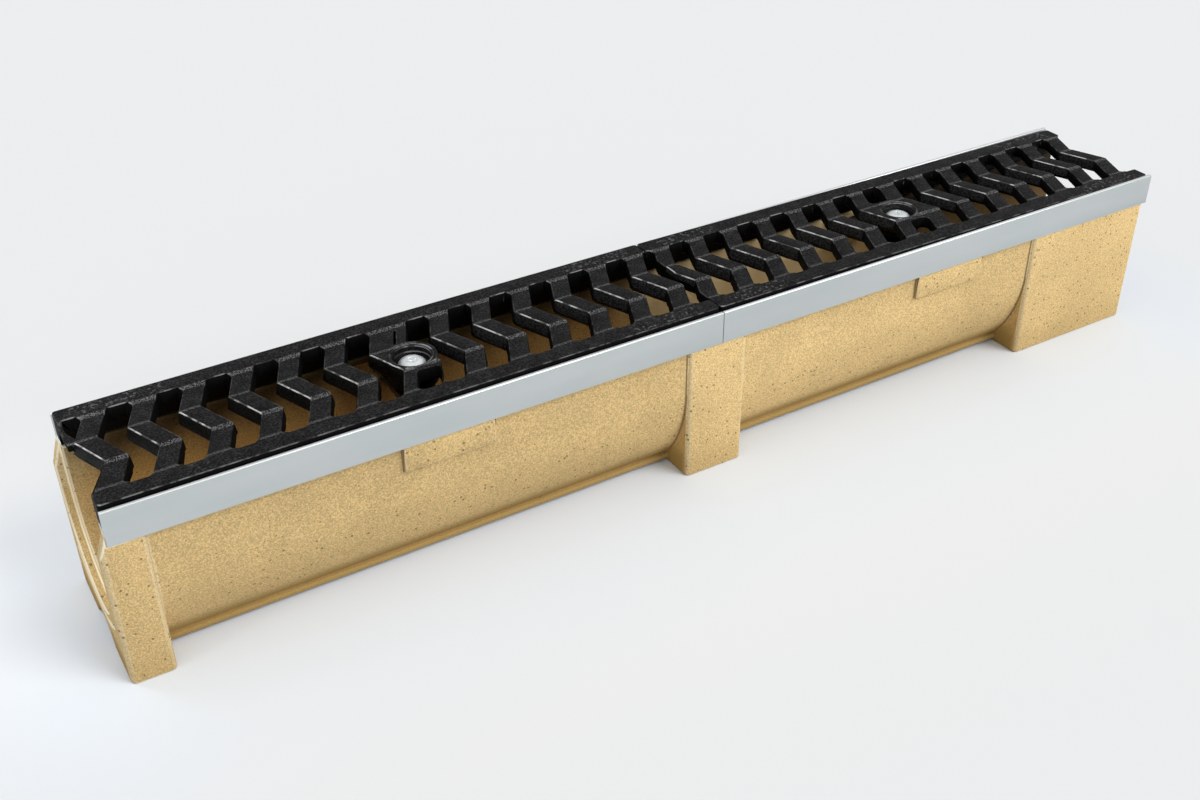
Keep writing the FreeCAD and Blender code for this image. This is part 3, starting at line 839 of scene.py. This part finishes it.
# %% Camera
CAMERA_PLACE = Vector((-0.58199, -0.85926, 0.71901))
CAMERA_AZIMUTH = math.radians(-30.66)
CAMERA_ELEVATION = math.radians(33.57)
CAMERA_ROLL = math.radians(0.56)
FOCAL_LENGTH = 41.907
SENSOR_WIDTH = 36
lens = bpy.data.cameras.new("camera")
lens.lens = FOCAL_LENGTH
lens.sensor_width = SENSOR_WIDTH
camera = bpy.data.objects.new("camera", lens)
bpy.context.scene.collection.objects.link(camera)
turn = Matrix.Rotation(CAMERA_AZIMUTH, 4, "Z")
tilt = Matrix.Rotation(math.pi / 2 - CAMERA_ELEVATION, 4, "X")
roll = Matrix.Rotation(-CAMERA_ROLL, 4, "Z")
camera.matrix_world = Matrix.Translation(CAMERA_PLACE) @ turn @ tilt @ roll
bpy.context.scene.camera = camera
print("camera", list(CAMERA_PLACE), "lens", FOCAL_LENGTH)

# %% [markdown]
# Floor
#
# The floor is pale paper without an edge in the picture. The camera sees it nearly white,
# while the light that it throws back is that of a grey floor, so that the casting's belly and
# its left-hand faces keep their shade. Close to the casting the paper is a little cooler,
# which balances the warm light that the sand throws on it.

# %% Floor
FLOOR_SIZE = 24
HALF_LENGTH = 500 * MM
HALF_WIDTH = 70 * MM
COOL_REACH = 200 * MM
PAPER = (0.85, 0.865, 0.875, 1)
COOL_PAPER = (0.82, 0.875, 0.945, 1)
THROWN_BACK = 0.45
bpy.ops.object.select_all(action="DESELECT")
bpy.ops.mesh.primitive_plane_add(size=FLOOR_SIZE, location=(0, 0, 0))
floor = bpy.context.object
floor.name = "studio_floor"


def beyond(tree, value, half):
    """How far a place lies outside the casting, along one axis."""
    return maths(tree, "MAXIMUM", maths(tree, "SUBTRACT", maths(tree, "ABSOLUTE", value), half), 0.0)


def pale_paper():
    material, tree, shader = new_finish("pale paper")
    place = parts_of(tree, "Object")
    along = beyond(tree, place["X"], HALF_LENGTH)
    across = beyond(tree, place["Y"], HALF_WIDTH)
    near = step(tree, distance(tree, along, across), 0.0, COOL_REACH, bottom=1.0, top=0.0)
    seen = mixed(tree, near, PAPER, COOL_PAPER)
    light_path = tree.nodes.new("ShaderNodeLightPath").outputs
    straight = maths(tree, "MAXIMUM", light_path["Is Camera Ray"], light_path["Is Glossy Ray"])
    feed(tree, mixed(tree, straight, grey(THROWN_BACK), seen), shader.inputs["Base Color"])
    feed(tree, 0.9, shader.inputs["Roughness"])
    feed(tree, 0.0, shader.inputs["Specular IOR Level"])
    return material


dress([floor], pale_paper())

# %% [markdown]
# Light
#
# Three very wide soft suns, the strongest in front on the right, leave only faint shadows.
# Area lamps could stand there instead, but a sun lights both ends of the run alike. Three
# narrow spots reach what the suns leave too dark: the near end, the floor on its left, and
# the inside, through the right end. A white room fills in the rest.

# %% Light
SPOT_BLEND = 0.8
SPOT_RADIUS = 150 * MM
ROOM_STRENGTH = 0.43


def hang(name, light, towards):
    """Lamp that shines from a direction."""
    lamp = bpy.data.objects.new(name, light)
    bpy.context.scene.collection.objects.link(lamp)
    lamp.rotation_euler = towards.to_track_quat("Z", "Y").to_euler()
    return lamp


def soft_lamp(name, towards, strength, width):
    """Sun lamp as wide as a softbox, shining from a direction."""
    light = bpy.data.lights.new(name, "SUN")
    light.energy = strength
    light.angle = math.radians(width)
    hang(name, light, Vector(towards))
    print(name, strength)


def end_lamp(name, place, aim, power, width):
    """Narrow soft spot that lights one end of the channel."""
    light = bpy.data.lights.new(name, "SPOT")
    light.energy = power
    light.spot_size = math.radians(width)
    light.spot_blend = SPOT_BLEND
    light.shadow_soft_size = SPOT_RADIUS
    lamp = hang(name, light, Vector(place) - Vector(aim))
    lamp.location = place
    print(name, power)


soft_lamp("front right softbox", towards=(0.75, -1.0, 1.0), strength=1.75, width=35)
soft_lamp("front left softbox", towards=(-0.5, -1.0, 0.7), strength=0.2, width=70)
soft_lamp("overhead softbox", towards=(0.1, 0.0, 1.0), strength=0.55, width=90)
end_lamp("left end spot", place=(-1.3, -0.2, 0.3), aim=(-0.5, 0.0, 0.07), power=9, width=20)
end_lamp("left floor spot", place=(-0.75, 0.35, 0.9), aim=(-0.515, 0.1, 0.0), power=21, width=16)
end_lamp("right end spot", place=(1.3, -0.16, 0.22), aim=(0.2, 0.03, 0.07), power=10, width=9)
world = bpy.data.worlds.new("white room")
bpy.context.scene.world = world
world.use_nodes = True
room = world.node_tree.nodes["Background"]
room.inputs["Color"].default_value = grey(1)
room.inputs["Strength"].default_value = ROOM_STRENGTH
bpy.context.scene.view_settings.view_transform = "Standard"
